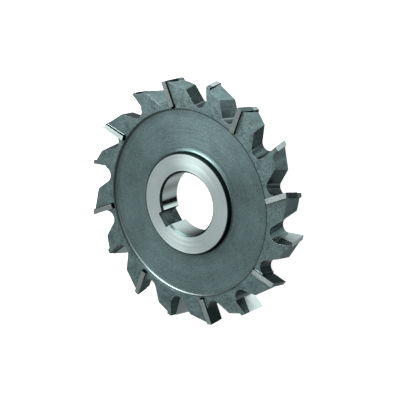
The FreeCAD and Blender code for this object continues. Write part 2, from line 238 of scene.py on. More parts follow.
class EffectLibrary:
    """Node groups that the finishes share, each made once."""

    # Noise values that become 0 and 1, so that the masks use their whole range.
    LINE_RANGE = (0.34, 0.66)
    BAND_RANGE = (0.35, 0.65)
    CLOUD_RANGE = (0.36, 0.64)
    SPECKLE_RANGE = (0.38, 0.62)
    FINE_SHARE = 0.7
    BAND_SCALE = 0.23

    _made: dict[str, bpy.types.NodeTree] = {}

    @classmethod
    def _group(
        cls,
        name: str,
        inputs: dict[str, tuple[str, object]],
        outputs: dict[str, str],
        fill: Callable[[NodeGraph, bpy.types.Node, bpy.types.Node], None],
    ) -> bpy.types.NodeTree:
        """Make a node group, or give back the one that is there.

        Args:
            name: Name of the group.
            inputs: Socket type and start value of each input.
            outputs: Socket type of each output.
            fill: Function that adds the nodes between the two ends.

        Returns:
            The node group.
        """
        if name in cls._made:
            return cls._made[name]
        tree = bpy.data.node_groups.new(name, "ShaderNodeTree")
        for label, (kind, value) in inputs.items():
            socket = tree.interface.new_socket(label, in_out="INPUT", socket_type=kind)
            socket.default_value = value
        for label, kind in outputs.items():
            tree.interface.new_socket(label, in_out="OUTPUT", socket_type=kind)
        fill(NodeGraph(tree), tree.nodes.new("NodeGroupInput"), tree.nodes.new("NodeGroupOutput"))
        cls._made[name] = tree
        return tree

    @classmethod
    def grooves(cls) -> bpy.types.NodeTree:
        """Fine lines left by a tool or wheel, in rings, spokes or rows.

        Returns:
            A group that turns a place into line masks. Its inputs choose how far the lines run
            around, away from and along the bore axis.
        """

        def fill(graph: NodeGraph, start: bpy.types.Node, end: bpy.types.Node) -> None:
            place = graph.add("TexCoord").outputs["Object"]
            split = graph.add("SeparateXYZ")
            graph.feed(split.inputs[0], place)
            x, y, z = split.outputs
            squares = graph.math("MULTIPLY", x, x), graph.math("MULTIPLY", y, y)
            radius = graph.math("SQRT", graph.math("ADD", *squares))
            turn = graph.math("ARCTAN2", y, x)
            joined = graph.add("CombineXYZ")
            for socket, value, name in zip(
                joined.inputs, (radius, turn, z), ("Across radius", "Across turn", "Across axis")
            ):
                graph.feed(socket, graph.math("MULTIPLY", value, start.outputs[name]))
            fine = graph.noise(joined.outputs[0], 1.0, detail=3.0, rough=0.65)
            wide = graph.noise(joined.outputs[0], cls.BAND_SCALE, detail=1.0)
            lines = graph.math(
                "ADD",
                graph.math("MULTIPLY", fine, cls.FINE_SHARE),
                graph.math("MULTIPLY", wide, 1.0 - cls.FINE_SHARE),
            )
            graph.feed(end.inputs["Lines"], graph.ramp(lines, *cls.LINE_RANGE))
            graph.feed(end.inputs["Bands"], graph.ramp(wide, *cls.BAND_RANGE))

        return cls._group(
            "ToolGrooves",
            {
                "Across radius": ("NodeSocketFloat", 4000.0),
                "Across turn": ("NodeSocketFloat", 3.0),
                "Across axis": ("NodeSocketFloat", 4000.0),
            },
            {"Lines": "NodeSocketFloat", "Bands": "NodeSocketFloat"},
            fill,
        )

    @classmethod
    def ring(cls) -> bpy.types.NodeTree:
        """Mask that is full at one radius from the bore axis and gone at another, for the rings of
        painted shade.

        Returns:
            A group with the mask.
        """

        def fill(graph: NodeGraph, start: bpy.types.Node, end: bpy.types.Node) -> None:
            _, _, radius = graph.around_axis()
            clear, foot = start.outputs["Clear radius"], start.outputs["Foot radius"]
            graph.feed(end.inputs["Mask"], graph.ramp(radius, clear, foot))

        return cls._group(
            "CornerRing",
            {"Foot radius": ("NodeSocketFloat", 0.02), "Clear radius": ("NodeSocketFloat", 0.03)},
            {"Mask": "NodeSocketFloat"},
            fill,
        )

    @classmethod
    def round_corner(cls) -> bpy.types.NodeTree:
        """Normal of a rounded corner round the bore axis, level with the flat face beyond it.

        Returns:
            A group with the normal. Inside the corner it leans away from the bore axis, or
            towards the axis where Side is -1.
        """

        def fill(graph: NodeGraph, start: bpy.types.Node, end: bpy.types.Node) -> None:
            place, way, radius = graph.around_axis()
            outward = graph.add("VectorMath", operation="NORMALIZE")
            graph.feed(outward.inputs[0], way)
            inside = graph.math("SUBTRACT", start.outputs["Clear radius"], radius)
            lean = graph.math("DIVIDE", inside, start.outputs["Corner size"], clamp=True)
            rest = graph.math("SUBTRACT", 1.0, graph.math("MULTIPLY", lean, lean))
            split = graph.add("SeparateXYZ")
            graph.feed(split.inputs[0], place)
            height = graph.math("SUBTRACT", split.outputs[2], start.outputs["Middle"])
            upright = graph.add("CombineXYZ")
            rise = graph.math("MULTIPLY", graph.math("SQRT", rest), graph.math("SIGN", height))
            graph.feed(upright.inputs[2], rise)
            aside = graph.add("VectorMath", operation="SCALE")
            graph.feed(aside.inputs[0], outward.outputs[0])
            graph.feed(aside.inputs["Scale"], graph.math("MULTIPLY", lean, start.outputs["Side"]))
            total = graph.add("VectorMath", operation="ADD")
            graph.feed(total.inputs[0], aside.outputs[0])
            graph.feed(total.inputs[1], upright.outputs[0])
            graph.feed(end.inputs["Normal"], total.outputs[0])

        return cls._group(
            "RoundCorner",
            {
                "Clear radius": ("NodeSocketFloat", 0.03),
                "Corner size": ("NodeSocketFloat", 0.002),
                "Middle": ("NodeSocketFloat", 0.007),
                "Side": ("NodeSocketFloat", 1.0),
            },
            {"Normal": "NodeSocketVector"},
            fill,
        )

    @classmethod
    def mottle(cls) -> bpy.types.NodeTree:
        """Soft clouds and fine speckle of a heat-treated or blasted surface.

        Returns:
            A group with a cloud mask and a speckle mask.
        """

        def fill(graph: NodeGraph, start: bpy.types.Node, end: bpy.types.Node) -> None:
            place = graph.add("TexCoord").outputs["Object"]
            cloud = graph.noise(place, start.outputs["Cloud scale"], detail=4.0, rough=0.6)
            speck = graph.noise(place, start.outputs["Speckle scale"], detail=2.0, rough=0.7)
            graph.feed(end.inputs["Clouds"], graph.ramp(cloud, *cls.CLOUD_RANGE))
            graph.feed(end.inputs["Speckle"], graph.ramp(speck, *cls.SPECKLE_RANGE))

        return cls._group(
            "Mottle",
            {
                "Cloud scale": ("NodeSocketFloat", 90.0),
                "Speckle scale": ("NodeSocketFloat", 2600.0),
            },
            {"Clouds": "NodeSocketFloat", "Speckle": "NodeSocketFloat"},
            fill,
        )


@dataclass(frozen=True)
class PaintedShadeRing:
    """A ring round the bore axis, painted dark as shade at a corner or an edge.

    The painted shade is full at the radius foot_mm and gone at clear_mm.
    """

    foot_mm: float
    clear_mm: float
    share: float


@dataclass(frozen=True)
class RoundCorner:
    """A rounded corner round the bore axis, seen in the shading of the flat face beside it.

    It begins at the radius clear_mm and turns from there towards the axis. A side of 1 rises to a
    wall nearer the axis, and -1 falls to a lower face there.
    """

    clear_mm: float
    size_mm: float
    side: float = 1.0


@dataclass(frozen=True)
class MetalFinish:
    """A metal surface with tool marks, mottling and fine speckle, and rings of painted shade where
    it has them.
    """

    # Lines that cross the turn are counted per radian, at the radius of the teeth. The streaks of
    # grooves that do not run round the axis are counted per metre, at 8 for one per turn.
    TEETH_RADIUS: ClassVar[float] = 0.058
    STREAK_FACTOR: ClassVar[float] = 8.0
    METALLIC: ClassVar[float] = 1.0
    GRAZING_TONE: ClassVar[float] = 0.6

    name: str
    dark: float
    light: float
    tint: Color
    roughness: float
    rough_spread: float = 0.08
    groove: Groove = Groove.AROUND
    groove_share: float = 0.5
    lines_per_metre: float = 5200.0
    streaks_per_turn: float = 5.0
    bump_mm: float = 0.0015
    anisotropy: float = 0.0
    cloud_scale: float = 90.0
    speckle_scale: float = 2600.0
    speckle_share: float = 0.25
    rings: tuple[PaintedShadeRing, ...] = ()
    corner: RoundCorner | None = None

    def build(self) -> bpy.types.Material:
        """Make the material.

        Returns:
            The material, with its colour, roughness and bump from nodes.
        """
        material = bpy.data.materials.new(self.name)
        material.use_nodes = True
        graph = NodeGraph(material.node_tree)
        shader = material.node_tree.nodes["Principled BSDF"]
        mottle = graph.add("Group", node_tree=EffectLibrary.mottle())
        mottle.inputs["Cloud scale"].default_value = self.cloud_scale
        mottle.inputs["Speckle scale"].default_value = self.speckle_scale
        grooves = self._grooves(graph)
        tone = graph.math(
            "ADD",
            graph.math("MULTIPLY", grooves.outputs["Lines"], self.groove_share),
            graph.math("MULTIPLY", mottle.outputs["Clouds"], 1.0 - self.groove_share),
        )
        tone = graph.math(
            "ADD",
            graph.math("MULTIPLY", mottle.outputs["Speckle"], self.speckle_share),
            graph.math("MULTIPLY", tone, 1.0 - self.speckle_share),
            clamp=True,
        )
        color = graph.blend(tone, self._grey(self.dark), self._grey(self.light))
        # Each ring paints shade into the colour: a dark band at a corner or an edge.
        for ring in self.rings:
            mask = graph.add("Group", node_tree=EffectLibrary.ring())
            mask.inputs["Foot radius"].default_value = ring.foot_mm * MM
            mask.inputs["Clear radius"].default_value = ring.clear_mm * MM
            share = graph.math("MULTIPLY", mask.outputs["Mask"], ring.share)
            color = graph.blend(share, color, PAINTED_SHADE_COLOR)
        graph.feed(shader.inputs["Base Color"], color)
        bands = grooves.outputs["Bands"]
        rough = graph.math("MULTIPLY_ADD", bands, self.rough_spread, self.roughness)
        graph.feed(shader.inputs["Roughness"], rough)
        shader.inputs["Metallic"].default_value = self.METALLIC
        shader.inputs["Specular Tint"].default_value = (self.GRAZING_TONE,) * 3 + (1.0,)
        bump = graph.add("Bump")
        bump.inputs["Strength"].default_value = 1.0
        bump.inputs["Distance"].default_value = self.bump_mm * MM
        graph.feed(bump.inputs["Height"], tone)
        if self.corner:
            lean = graph.add("Group", node_tree=EffectLibrary.round_corner())
            lean.inputs["Clear radius"].default_value = self.corner.clear_mm * MM
            lean.inputs["Corner size"].default_value = self.corner.size_mm * MM
            lean.inputs["Side"].default_value = self.corner.side
            graph.feed(bump.inputs["Normal"], lean.outputs["Normal"])
        graph.feed(shader.inputs["Normal"], bump.outputs["Normal"])
        if self.anisotropy:
            shader.inputs["Anisotropic"].default_value = self.anisotropy
            graph.feed(shader.inputs["Tangent"], self._tangent(graph))
        return material

    def _grey(self, value: float) -> tuple[float, ...]:
        """Grey of this brightness with the finish's tint, as a full colour."""
        return (*(value * channel for channel in self.tint), 1.0)

    def _grooves(self, graph: NodeGraph) -> bpy.types.Node:
        """Add the groove group, with its lines in this finish's direction."""
        node = graph.add("Group", node_tree=EffectLibrary.grooves())
        fine, along = self.lines_per_metre, self.streaks_per_turn
        streaks, lines = along * self.STREAK_FACTOR, fine * self.TEETH_RADIUS
        across = {
            Groove.AROUND: (fine, along, fine),
            Groove.RADIAL: (streaks, lines, fine),
            Groove.AXIAL: (fine, lines, streaks),
            Groove.NONE: (fine, lines, fine),
        }[self.groove]
        for name, value in zip(("Across radius", "Across turn", "Across axis"), across):
            node.inputs[name].default_value = value
        return node

    def _tangent(self, graph: NodeGraph) -> Socket:
        """Add the direction square to the grooves, which the highlight stretches along."""
        place = graph.add("TexCoord").outputs["Object"]
        split = graph.add("SeparateXYZ")
        graph.feed(split.inputs[0], place)
        x, y, _ = split.outputs
        joined = graph.add("CombineXYZ")
        if self.groove is Groove.AROUND:
            graph.feed(joined.inputs[0], x)
            graph.feed(joined.inputs[1], y)
        else:
            graph.feed(joined.inputs[0], graph.math("MULTIPLY", y, -1.0))
            graph.feed(joined.inputs[1], x)
        return joined.outputs[0]


WHITE = (1.0, 1.0, 1.0, 1.0)
# Colour of the painted shade in the dark rings.
PAINTED_SHADE_COLOR = (0.006, 0.012, 0.012, 1.0)
MATT_TINT = (0.70, 1.03, 1.03)
GROUND_TINT = (0.85, 1.03, 1.01)
# Tint of the tones painted as shade.
PAINTED_SHADE_TINT = (0.55, 1.04, 1.02)

HUB_FOOT = RoundCorner(28.5, 2.5)
RECESS_RIM = RoundCorner(48.55, 0.5, side=-1.0)

# After its name, each finish gives its darkest and lightest tone, its tint and its roughness.
STEEL_FINISHES: dict[Zone, MetalFinish] = {
    # The web's ring paints shade round the foot of the hub.
    Zone.WEB: MetalFinish(
        "steel_web", 0.102, 0.265, MATT_TINT, 0.44, groove_share=0.4, anisotropy=0.35,
        cloud_scale=55.0, speckle_scale=1800.0, speckle_share=0.45,
        rings=(PaintedShadeRing(27.2, 29.0, 0.3),), corner=HUB_FOOT,
    ),
    # The rim's ring paints a thin dark line of shade along the edge of the recess.
    Zone.RIM: MetalFinish(
        "steel_rim", 0.094, 0.285, MATT_TINT, 0.42, groove_share=0.2, cloud_scale=160.0,
        speckle_scale=1300.0, speckle_share=0.55, rings=(PaintedShadeRing(48.35, 48.55, 0.7),),
        corner=RECESS_RIM,
    ),
    # The hub face's ring paints a thin dark line of shade along its outer edge.
    Zone.HUB_FACE: MetalFinish(
        "steel_hub_face", 0.52, 0.66, GROUND_TINT, 0.37, groove_share=0.6, anisotropy=0.72,
        lines_per_metre=7000.0, streaks_per_turn=2.0, rings=(PaintedShadeRing(25.6, 25.4, 0.95),),
    ),
    # The hub wall's tones are painted nearly black as shade.
    Zone.HUB_WALL: MetalFinish(
        "steel_hub_wall_painted_shade", 0.02, 0.05, PAINTED_SHADE_TINT, 0.3,
    ),
    # The hub root's ring paints shade over the steep part of its round, next to the hub wall.
    Zone.HUB_ROOT: MetalFinish(
        "steel_hub_root", 0.10, 0.15, MATT_TINT, 0.3, groove_share=0.6,
        rings=(PaintedShadeRing(26.2, 26.6, 0.95),), corner=HUB_FOOT,
    ),
    Zone.RECESS_FOOT: MetalFinish(
        "steel_recess_foot", 0.09, 0.16, GROUND_TINT, 0.3, groove_share=0.6,
    ),
    Zone.RECESS_WALL: MetalFinish(
        "steel_recess_wall", 0.20, 0.29, GROUND_TINT, 0.22, groove_share=0.6, rough_spread=0.04,
    ),
    Zone.BORE: MetalFinish(
        "steel_bore", 0.62, 0.74, GROUND_TINT, 0.1, groove_share=0.7, rough_spread=0.04,
    ),
    # The chamfer's tones are painted nearly black as shade, far below the ground steel of the bore.
    Zone.CHAMFER: MetalFinish(
        "steel_chamfer_painted_shade", 0.028, 0.052, MATT_TINT, 0.22,
    ),
    Zone.KEYWAY: MetalFinish(
        "steel_keyway", 0.015, 0.15, MATT_TINT, 0.30, groove=Groove.AXIAL, groove_share=0.2,
        cloud_scale=230.0, speckle_share=0.15,
    ),
    Zone.LAND: MetalFinish(
        "steel_land", 0.14, 0.39, MATT_TINT, 0.38, groove=Groove.AXIAL, groove_share=0.45,
        lines_per_metre=2600.0, speckle_scale=1300.0, speckle_share=0.4, bump_mm=0.004,
    ),
    Zone.CROWN: MetalFinish(
        "steel_crown", 0.25, 0.42, GROUND_TINT, 0.30, groove_share=0.6,
    ),
    Zone.FACET: MetalFinish(
        "steel_facet", 0.065, 0.21, MATT_TINT, 0.34, groove=Groove.AXIAL, groove_share=0.45,
        lines_per_metre=2600.0, speckle_scale=1300.0, speckle_share=0.4, bump_mm=0.004,
    ),
    Zone.GULLET: MetalFinish(
        "steel_gullet", 0.05, 0.17, MATT_TINT, 0.26, groove=Groove.AXIAL, groove_share=0.5,
        lines_per_metre=2600.0, speckle_scale=1300.0, speckle_share=0.4, bump_mm=0.003,
    ),
    # The seat's tones are painted nearly black as shade in the gaps round the tips.
    Zone.SEAT: MetalFinish(
        "steel_seat_painted_shade", 0.01, 0.02, PAINTED_SHADE_TINT, 0.6, groove=Groove.NONE,
    ),
    Zone.EDGE: MetalFinish(
        "steel_edge", 0.22, 0.37, GROUND_TINT, 0.33, groove=Groove.NONE,
    ),
}

TIP_FINISHES: dict[TipFace, MetalFinish] = {
    TipFace.SIDE: MetalFinish(
        "carbide_side", 0.22, 0.47, GROUND_TINT, 0.44, groove=Groove.RADIAL, groove_share=0.5,
        anisotropy=0.86, speckle_scale=1700.0, speckle_share=0.5,
    ),
    # Front-hand crowns and rakes are painted in a shaded tone and back-hand ones in a lit tone: lit
    # and shaded copies of the same ground carbide.
    TipFace.CROWN_FRONT: MetalFinish(
        "carbide_crown_front", 0.11, 0.19, MATT_TINT, 0.28, groove_share=0.6,
    ),
    TipFace.CROWN_BACK: MetalFinish(
        "carbide_crown_back", 0.70, 0.92, GROUND_TINT, 0.32, groove_share=0.6,
    ),
    TipFace.RAKE_FRONT: MetalFinish(
        "carbide_rake_front", 0.06, 0.115, PAINTED_SHADE_TINT, 0.28, groove=Groove.RADIAL,
        groove_share=0.6,
    ),
    TipFace.RAKE_BACK: MetalFinish(
        "carbide_rake_back", 0.37, 0.50, GROUND_TINT, 0.36, groove=Groove.RADIAL,
        groove_share=0.6,
    ),
    # Faces of a tip that lie against its seat are painted nearly black as shade.
    TipFace.HIDDEN: MetalFinish(
        "carbide_back", 0.006, 0.015, PAINTED_SHADE_TINT, 0.5, groove=Groove.NONE,
    ),
}

BRAZE_FINISH = MetalFinish(
    "braze_bead", 0.13, 0.26, GROUND_TINT, 0.2, groove=Groove.NONE, speckle_share=0.5,
)


def only(target: bpy.types.Object) -> None:
    """Select one object alone and make it the active one."""
    bpy.ops.object.select_all(action="DESELECT")
    target.select_set(True)
    bpy.context.view_layer.objects.active = target


def soften_edges(
    piece: bpy.types.Object, width_mm: float, angle_deg: float, edge_slot: int = -1
) -> None:
    """Break a piece's sharp edges and shade its wide faces flat up to them.

    Args:
        piece: Object to change.
        width_mm: Width of the broken edge.
        angle_deg: Edges that turn by more than this are broken.
        edge_slot: Material slot of the new faces, or -1 to take it from their neighbours.
    """
    bevel = piece.modifiers.new("BrokenEdges", "BEVEL")
    bevel.width = width_mm * MM
    bevel.segments = BEVEL_SEGMENTS
    bevel.limit_method = "ANGLE"
    bevel.angle_limit = math.radians(angle_deg)
    bevel.material = edge_slot
    bevel.use_clamp_overlap = True
    only(piece)
    bpy.ops.object.modifier_apply(modifier=bevel.name)
    bpy.ops.object.shade_smooth_by_angle(angle=math.radians(angle_deg))
    flat = piece.modifiers.new("WideFacesFlat", "WEIGHTED_NORMAL")
    flat.keep_sharp = True
    bpy.ops.object.modifier_apply(modifier=flat.name)


def merged_copy(
    node: str,
    name: str,
    finishes: list[bpy.types.Material],
    finish_of: Callable[[Vector, Vector], int],
) -> bpy.types.Object:
    """Copy a node's mesh into a new object, with its loose triangles joined into whole faces.

    Args:
        node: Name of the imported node.
        name: Name of the new object.
        finishes: Materials for the slots, in order.
        finish_of: Function that gives the slot of a triangle from its centre in millimetres and
            its normal.

    Returns:
        The new object, at the origin.
    """
    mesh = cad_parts[node].data.copy()
    mesh.name = name
    mesh.materials.clear()
    for material in finishes:
        mesh.materials.append(material)
    for triangle in mesh.polygons:
        triangle.material_index = finish_of(triangle.center / MM, triangle.normal)
    piece = bpy.data.objects.new(name, mesh)
    bpy.context.scene.collection.objects.link(piece)
    only(piece)
    bpy.ops.object.mode_set(mode="EDIT")
    bpy.ops.mesh.select_all(action="SELECT")
    bpy.ops.mesh.remove_doubles(threshold=MERGE_MM * MM)
    bpy.ops.mesh.dissolve_limited(angle_limit=math.radians(FLAT_DEG), delimit={"MATERIAL"})
    bpy.ops.mesh.select_all(action="DESELECT")
    bpy.ops.object.mode_set(mode="OBJECT")
    return piece


@dataclass(frozen=True)
class ToothLattice:
    """Where the teeth are, and how a place looks from its own tooth."""

    count: int = 16
    edge_radius_mm: float = 62.5
    middle_mm: float = 7.0
    slant_deg: float = 11.0
    rake_deg: float = 10.0

    @property
    def pitch_deg(self) -> float:
        """Angle between neighbouring teeth."""
        return 360.0 / self.count

    @property
    def per_hand(self) -> int:
        """Number of teeth that cut on one side."""
        return self.count // 2

    def hand(self, tooth: int) -> Hand:
        """Side that a tooth cuts on."""
        return Hand.BACK if tooth % 2 == 0 else Hand.FRONT

    def tooth(self, hand: Hand, number: int) -> int:
        """Number among all teeth of the tooth that has this number in its hand, from 1."""
        first = 1 if hand is Hand.FRONT else 0
        return first + 2 * (number - 1)

    def local(self, point_mm: Vector, tooth: int) -> tuple[float, float]:
        """Place of a point in a tooth's section, with the slant of its edge taken out.

        Args:
            point_mm: Point in the cutter's frame.
            tooth: Number of the tooth.

        Returns:
            Distances outward and ahead of the tooth's radius.
        """
        turn = math.radians(self.pitch_deg * tooth)
        outward = point_mm.x * math.cos(turn) + point_mm.y * math.sin(turn)
        ahead = point_mm.y * math.cos(turn) - point_mm.x * math.sin(turn)
        slant = math.tan(math.radians(self.slant_deg)) * self.hand(tooth).value
        return outward, ahead - slant * (point_mm.z - self.middle_mm)

    def rake_place(self, point_mm: Vector, tooth: int) -> tuple[float, float]:
        """Place of a point against a tooth's rake face.

        Args:
            point_mm: Point in the cutter's frame.
            tooth: Number of the tooth.

        Returns:
            Distances outward along the rake face and square ahead of it.
        """
        outward, ahead = self.local(point_mm, tooth)
        rake = math.radians(self.rake_deg)
        outward -= self.edge_radius_mm
        return (
            outward * math.cos(rake) + ahead * math.sin(rake),
            ahead * math.cos(rake) - outward * math.sin(rake),
        )

    def point(self, along: float, ahead: float, z_mm: float, tooth: int) -> Vector:
        """Point in the cutter's frame from its place against a tooth's rake face.

        Args:
            along: Distance outward along the rake face from the cutting edge.
            ahead: Distance square ahead of the rake face.
            z_mm: Height.
            tooth: Number of the tooth.

        Returns:
            The point in millimetres.
        """
        rake = math.radians(self.rake_deg)
        turn = math.radians(self.pitch_deg * tooth)
        outward = self.edge_radius_mm + along * math.cos(rake) - ahead * math.sin(rake)
        slant = math.tan(math.radians(self.slant_deg)) * self.hand(tooth).value
        side = along * math.sin(rake) + ahead * math.cos(rake) + slant * (z_mm - self.middle_mm)
        return Vector((
            outward * math.cos(turn) - side * math.sin(turn),
            outward * math.sin(turn) + side * math.cos(turn),
            z_mm,
        ))

    def tooth_of(self, point_mm: Vector) -> int:
        """Number of the tooth whose body or gullet a point belongs to."""

        def offset(tooth: int) -> float:
            outward, ahead = self.local(point_mm, tooth)
            return abs(math.degrees(math.atan2(ahead, outward)))

        return min(range(self.count), key=offset)

    def normal_turn(self, normal: Vector, tooth: int) -> float:
        """Direction of a normal against the tooth's radius, in degrees from -180 to 180."""
        turn = math.degrees(math.atan2(normal.y, normal.x)) - self.pitch_deg * tooth
        return (turn + 180.0) % 360.0 - 180.0


@dataclass(frozen=True)
class ToothFace:
    """How a ground face of a tooth is told by its normal."""

    zone: Zone
    turn_deg: float
    turn_slack_deg: float
    rise_limit: float


@dataclass(frozen=True)
class SteelDisc:
    """The hardened steel disc with its hub, web, tooth spaces and seats."""

    lattice: ToothLattice
    name: str = "steel_disc"
    # Radii, and heights above the middle plane.
    bore_mm: float = 16.0
    chamfer_mm: float = 1.0
    hub_mm: float = 26.0
    hub_margin_mm: float = 1.0
    hub_fillet_mm: float = 1.5
    recess_mm: float = 48.0
    recess_bevel_mm: float = 0.5
    half_width_mm: float = 7.0
    half_rim_mm: float = 5.6
    half_web_mm: float = 3.7
    tooth_faces: tuple[ToothFace, ...] = (
        ToothFace(Zone.LAND, -25.5, turn_slack_deg=1.0, rise_limit=0.02),
        ToothFace(Zone.CROWN, -7.0, turn_slack_deg=2.0, rise_limit=0.1),
        ToothFace(Zone.FACET, -44.0, turn_slack_deg=2.0, rise_limit=0.16),
    )
    # Places in a tooth's seat, behind and ahead of its rake face and along it.
    seat_depth_mm: float = 2.6
    lip_gap_mm: float = 0.35
    lip_top_mm: float = -8.0
    seat_end_mm: float = -12.0
    seat_side_rise: float = 0.6
    edge_break_mm: float = 0.12
    edge_angle_deg: float = 24.0
    # How far a face may be off the place or the direction that it is told by.
    slack_mm: float = 0.06
    wide_slack_mm: float = 0.1
    bore_inward: float = -0.98

    def build(self) -> bpy.types.Object:
        """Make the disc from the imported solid, break its edges and dress it.

        Returns:
            The finished piece.
        """
        zones = list(Zone)
        piece = merged_copy(
            BODY_NODE,
            self.name,
            [STEEL_FINISHES[zone].build() for zone in zones],
            lambda centre, normal: zones.index(self._zone(centre, normal)),
        )
        soften_edges(piece, self.edge_break_mm, self.edge_angle_deg, zones.index(Zone.EDGE))
        for polygon in piece.data.polygons:
            if polygon.material_index == zones.index(Zone.EDGE):
                polygon.material_index = zones.index(self._edge_zone(polygon.center / MM))
        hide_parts(BODY_NODE)
        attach(piece, ROOT_BODY)
        return piece

    def _edge_zone(self, centre: Vector) -> Zone:
        """Find the zone of a broken edge.

        Args:
            centre: Middle of the edge's face in millimetres.

        Returns:
            The zone.
        """
        radius = math.hypot(centre.x, centre.y)
        # Broken edges at the bore and at the hub take the chamfer's and the hub wall's tones,
        # painted dark as shade.
        if radius < self.bore_mm + 2.0 * self.chamfer_mm:
            return Zone.CHAMFER
        if radius < self.hub_mm + self.hub_fillet_mm:
            return Zone.HUB_WALL
        if radius < self.recess_mm + 4.0 * self.edge_break_mm:
            return Zone.RECESS_WALL
        return Zone.EDGE

    def _zone(self, centre: Vector, normal: Vector) -> Zone:
        """Find the zone that a face belongs to.

        Args:
            centre: Middle of the face in millimetres.
            normal: Outward normal.

        Returns:
            The zone.
        """
        radius = math.hypot(centre.x, centre.y)
        height = abs(centre.z - self.half_width_mm)
        flat = abs(normal.z) > FLAT_RISE
        on_hub_face = flat and height > self.half_width_mm - self.slack_mm
        if radius < self.hub_mm - self.hub_margin_mm or on_hub_face:
            return self._hub_zone(centre, normal, flat)
        if radius < self.recess_mm - self.recess_bevel_mm:
            if flat and height < self.half_web_mm + self.slack_mm:
                return Zone.WEB
            return Zone.HUB_WALL if abs(normal.z) < UPRIGHT_RISE else Zone.HUB_ROOT
        if radius < self.recess_mm + self.slack_mm and height < self.half_rim_mm and not flat:
            return Zone.RECESS_WALL if abs(normal.z) < SLOPE_RISE else Zone.RECESS_FOOT
        if flat and abs(height - self.half_rim_mm) < self.slack_mm:
            return Zone.RIM
        return self._tooth_zone(centre, normal)

    def _hub_zone(self, centre: Vector, normal: Vector, flat: bool) -> Zone:
        """Find the zone of a face on the hub or in the bore.

        Args:
            centre: Middle of the face in millimetres.
            normal: Outward normal.
            flat: Whether the face is square to the bore axis.

        Returns:
            The zone.
        """
        if flat:
            return Zone.HUB_FACE
        if abs(normal.z) > SLOPE_RISE:
            return Zone.CHAMFER
        outward = Vector((centre.x, centre.y, 0.0))
        inward = outward.normalized().dot(normal) < self.bore_inward
        on_bore = abs(outward.length - self.bore_mm) < self.wide_slack_mm
        return Zone.BORE if inward and on_bore else Zone.KEYWAY

    def _tooth_zone(self, centre: Vector, normal: Vector) -> Zone:
        """Find the zone of a face on a tooth.

        Args:
            centre: Middle of the face in millimetres.
            normal: Outward normal.

        Returns:
            The zone.
        """
        tooth = self.lattice.tooth_of(centre)
        for near in (tooth, tooth - 1, tooth + 1):
            turn = self.lattice.normal_turn(normal, near)
            for face in self.tooth_faces:
                turned = abs(turn - face.turn_deg) < face.turn_slack_deg
                if turned and abs(normal.z) < face.rise_limit:
                    return face.zone
        along, ahead = self.lattice.rake_place(centre, tooth)
        seat_back = -self.seat_depth_mm
        at_back = abs(ahead - seat_back) < self.slack_mm
        at_lip = abs(ahead - self.lip_gap_mm) < self.slack_mm and along < self.lip_top_mm
        closed_side = abs(normal.z) > self.seat_side_rise and seat_back < ahead < self.lip_gap_mm
        in_seat = seat_back - self.wide_slack_mm < ahead < self.lip_gap_mm
        at_end = along < self.seat_end_mm and in_seat
        return Zone.SEAT if at_back or at_lip or closed_side or at_end else Zone.GULLET


@dataclass(frozen=True)
class CarbideTips:
    """The sixteen brazed carbide tips."""

    lattice: ToothLattice
    edge_break_mm: float = 0.05
    edge_angle_deg: float = 30.0
    crown_turn_deg: float = -7.0
    crown_slack_deg: float = 6.0
    crown_rise_limit: float = 0.5
    rake_turn_deg: float = 100.0
    rake_slack_deg: float = 12.0

    def build(self) -> list[bpy.types.Object]:
        """Make and dress every tip.

        Returns:
            The finished pieces.
        """
        finishes = [TIP_FINISHES[face].build() for face in TipFace]
        return [
            self._tip(hand, number, finishes)
            for hand in Hand
            for number in range(1, self.lattice.per_hand + 1)
        ]

    def _tip(
        self, hand: Hand, number: int, finishes: list[bpy.types.Material]
    ) -> bpy.types.Object:
        """Make one tip.

        Args:
            hand: Side that its tooth cuts on.
            number: Number of its tooth among those of its hand.
            finishes: Material of each kind of face.

        Returns:
            The finished piece.
        """
        node = f"tip_{hand.name.lower()}_{number:02d}"
        tooth = self.lattice.tooth(hand, number)
        faces = list(TipFace)
        piece = merged_copy(
            node,
            f"carbide_{node}",
            finishes,
            lambda _, normal: faces.index(self._face(normal, tooth)),
        )
        soften_edges(piece, self.edge_break_mm, self.edge_angle_deg)
        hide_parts(node)
        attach(piece, ROOT_BODY)
        return piece

    def _face(self, normal: Vector, tooth: int) -> TipFace:
        """Tell which face of the tip a normal belongs to.

        Args:
            normal: Outward normal.
            tooth: Number of the tooth.

        Returns:
            The kind of face.
        """
        if abs(normal.z) > FLAT_RISE:
            return TipFace.SIDE
        turn = self.lattice.normal_turn(normal, tooth)
        front = self.lattice.hand(tooth) is Hand.FRONT
        on_top = abs(turn - self.crown_turn_deg) < self.crown_slack_deg
        if on_top and abs(normal.z) < self.crown_rise_limit:
            return TipFace.CROWN_FRONT if front else TipFace.CROWN_BACK
        if abs(turn - self.rake_turn_deg) < self.rake_slack_deg:
            return TipFace.RAKE_FRONT if front else TipFace.RAKE_BACK
        return TipFace.HIDDEN


@dataclass(frozen=True)
class Rod:
    """A straight run of braze.

    Each end is a distance outward along the rake face, a distance ahead of it and a height above
    the middle plane, on the side that the tooth cuts on.
    """

    start: tuple[float, float, float]
    end: tuple[float, float, float]
    radius_mm: float


